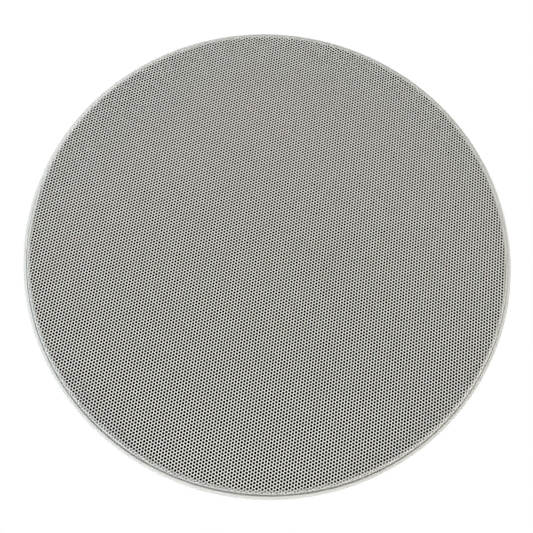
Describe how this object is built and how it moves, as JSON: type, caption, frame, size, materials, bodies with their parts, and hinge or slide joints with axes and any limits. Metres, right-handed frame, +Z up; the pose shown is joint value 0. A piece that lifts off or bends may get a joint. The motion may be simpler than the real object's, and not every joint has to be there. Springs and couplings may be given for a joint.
{
  "type": "in-ceiling speaker",
  "caption": "Round flush in-ceiling loudspeaker: white perforated grille and lip, clamp dogs, open-basket woofer with a bridge-mounted tweeter, crossover board and push terminals.",
  "frame": {"origin": "centre of the spigot in the plane of the ceiling's underside, the back face of the flange", "axes": "+Z up into the ceiling along the spigot; the grille faces -Z; +X towards an arm of the bridge"},
  "size_m": [0.235, 0.235, 0.0837],
  "materials": {
    "white_abs": "satin moulded white",
    "white_powder_coat": "matte white powder coat",
    "black_cloth": "fine black weave",
    "nickel": "bright nickel plate",
    "black_pressed_steel": "black semi-gloss coat",
    "foam_gasket": "dense black foam",
    "black_zinc": "black zinc plate",
    "black_rubber": "soft satin black",
    "grey_polypropylene": "satin dark grey",
    "former_foil": "bare foil",
    "copper_wire": "enamelled copper",
    "amber_cloth": "resin-stiffened cloth",
    "zinc_steel": "zinc plate",
    "ferrite": "ground dark ferrite",
    "black_abs": "textured black",
    "silk": "coated black silk",
    "green_laminate": "green solder mask",
    "zinc_screw": "bright zinc",
    "yellow_film": "moulded yellow",
    "tinned_brass": "tinned",
    "red_plastic": "moulded red",
    "black_gloss_plastic": "moulded black",
    "brown_laminate": "paper laminate",
    "black_nylon": "glass-filled nylon"
  },
  "bodies": {
    "frame": {"mounting_frame": "white_abs", "grille": "white_powder_coat", "grille_cloth": "black_cloth", "grille_magnets": "nickel", "woofer_basket": "black_pressed_steel", "woofer_gasket": "foam_gasket", "woofer_screws": "black_zinc", "surround": "black_rubber", "spider": "amber_cloth", "top_plate": "zinc_steel", "woofer_magnet": "ferrite", "pole_yoke": "zinc_steel", "motor_rivets": "zinc_steel", "tweeter_bridge": "black_abs", "bridge_screws": "black_zinc", "tweeter_faceplate": "black_abs", "tweeter_dome": "silk", "tweeter_coil": "copper_wire", "tweeter_pole_plate": "zinc_steel", "tweeter_magnet": "nickel", "tweeter_cup": "zinc_steel", "crossover_board": "green_laminate", "board_screws": "zinc_screw", "crossover_capacitor": "yellow_film", "inductor_core": "ferrite", "inductor_winding": "copper_wire", "terminal_block": "black_abs", "terminal_tags": "tinned_brass", "woofer_tag_board": "brown_laminate", "woofer_tags": "tinned_brass"},
    "cone": {"cone": "grey_polypropylene", "dust_cap": "grey_polypropylene", "coil_former": "former_foil", "voice_coil": "copper_wire"},
    "tab_red": {"terminal_tab_red": "red_plastic"},
    "tab_black": {"terminal_tab_black": "black_gloss_plastic"},
    "screw_1": {"clamp_screw_1": "zinc_screw"},
    "dog_1": {"clamp_dog_1": "black_nylon"},
    "screw_2": {"clamp_screw_2": "zinc_screw"},
    "dog_2": {"clamp_dog_2": "black_nylon"},
    "screw_3": {"clamp_screw_3": "zinc_screw"},
    "dog_3": {"clamp_dog_3": "black_nylon"}
  },
  "joints": [
    {"name": "cone_travel", "type": "slide", "parent": "frame", "child": "cone", "axis": [0, 0, 1], "range_m": [-0.005, 0.005], "stiffness_N_per_m": 1100, "deforming": ["surround", "spider"]},
    {"name": "clamp_1_swing", "type": "hinge", "parent": "frame", "child": "screw_1", "pos_m": [0, 0.092, 0], "axis": [0, 0, 1], "range_deg": [0, 90]},
    {"name": "clamp_1_draw", "type": "slide", "parent": "screw_1", "child": "dog_1", "axis": [0, 0, 1], "range_m": [-0.022, 0]},
    {"name": "clamp_2_swing", "type": "hinge", "parent": "frame", "child": "screw_2", "pos_m": [-0.07967, -0.046, 0], "axis": [0, 0, 1], "range_deg": [0, 90]},
    {"name": "clamp_2_draw", "type": "slide", "parent": "screw_2", "child": "dog_2", "axis": [0, 0, 1], "range_m": [-0.022, 0]},
    {"name": "clamp_3_swing", "type": "hinge", "parent": "frame", "child": "screw_3", "pos_m": [0.07967, -0.046, 0], "axis": [0, 0, 1], "range_deg": [0, 90]},
    {"name": "clamp_3_draw", "type": "slide", "parent": "screw_3", "child": "dog_3", "axis": [0, 0, 1], "range_m": [-0.022, 0]},
    {"name": "tab_red_press", "type": "slide", "parent": "frame", "child": "tab_red", "axis": [0, 0, 1], "range_m": [-0.003, 0], "stiffness_N_per_m": 400, "springref_m": 0.002},
    {"name": "tab_black_press", "type": "slide", "parent": "frame", "child": "tab_black", "axis": [0, 0, 1], "range_m": [-0.003, 0], "stiffness_N_per_m": 400, "springref_m": 0.002}
  ]
}
